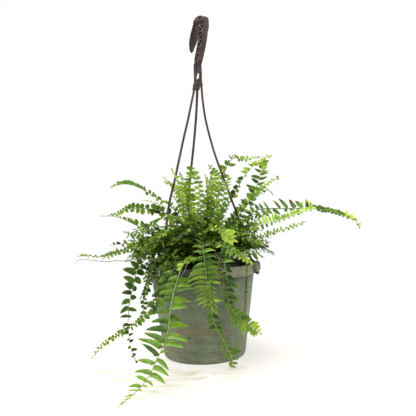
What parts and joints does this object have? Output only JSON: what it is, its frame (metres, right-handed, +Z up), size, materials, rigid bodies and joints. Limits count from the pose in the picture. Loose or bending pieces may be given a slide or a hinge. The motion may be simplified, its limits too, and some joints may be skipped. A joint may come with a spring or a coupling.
{
  "type": "fern in a hanging pot",
  "caption": "Bushy sword fern with arching and trailing fronds in a tapered mottled plastic hanging pot, its stiff hanger and open hook standing up above the leaves.",
  "frame": {"origin": "centre of the pot's underside, on the surface that the pot stands on", "axes": "+Z up along the pot's axis towards the hook, -Y towards the side with the long frond that reaches the ground, +X to the right seen from that side"},
  "size_m": [0.5258, 0.5138, 0.6497],
  "materials": {
    "pot_plastic": "satin, mottled and streaked recycled plastic, grey-green with brown flecks",
    "hanger_plastic": "satin dark brown moulded plastic with a slight mauve cast",
    "potting_soil": "crumbly dark potting soil",
    "stem": "stipe bases and young coiled fronds, pale green to brown",
    "leaf": "thin satin fern leaflets, yellow-green at the tips and dark green inside",
    "runner": "wiry grey-brown runner"
  },
  "bodies": {
    "root": {"pot": "pot_plastic", "potting_soil": "potting_soil", "fern_crown": "stem", "hanger_hook": "hanger_plastic", "hanger_arm_right": "hanger_plastic", "hanger_arm_back": "hanger_plastic", "hanger_arm_left": "hanger_plastic", "frond_left_arch_upper": "leaf", "frond_left_arch_middle": "leaf", "frond_left_arch_lower": "leaf", "frond_left_far": "leaf", "frond_left_short": "leaf", "frond_left_low_back": "leaf", "frond_left_long": "leaf", "frond_left_hanging": "leaf", "frond_left_trailing": "leaf", "frond_front_left_cascade": "leaf", "frond_front_long": "leaf", "frond_front_middle": "leaf", "frond_front_low": "leaf", "frond_front_short": "leaf", "frond_front_right_bright": "leaf", "frond_right_curled_vine": "leaf", "frond_right_crumpled": "leaf", "frond_front_crossing": "leaf", "frond_front_lobed": "leaf", "frond_right_long_arch": "leaf", "frond_right_arch_light": "leaf", "frond_right_thin": "leaf", "frond_right_upper": "leaf", "frond_top_right_back": "leaf", "frond_top_right_front": "leaf", "frond_top_arching": "leaf", "frond_right_back_upper": "leaf", "frond_top_middle_tall": "leaf", "frond_top_middle_left": "leaf", "frond_top_middle_right": "leaf", "frond_top_left": "leaf", "frond_top_far_left": "leaf", "runner_left": "runner", "runner_front": "runner", "frond_middle_left_a": "leaf", "frond_middle_left_b": "leaf", "frond_middle_front": "leaf", "frond_back_left_tall": "leaf", "frond_back_long_a": "leaf", "frond_back_long_b": "leaf", "frond_back_long_c": "leaf", "frond_back_right_long": "leaf", "frond_back_right_low": "leaf", "frond_back_tall_a": "leaf", "frond_back_tall_b": "leaf", "frond_back_middle": "leaf", "frond_back_hanging_a": "leaf", "frond_back_hanging_b": "leaf", "frond_right_hanging": "leaf"}
  },
  "joints": []
}
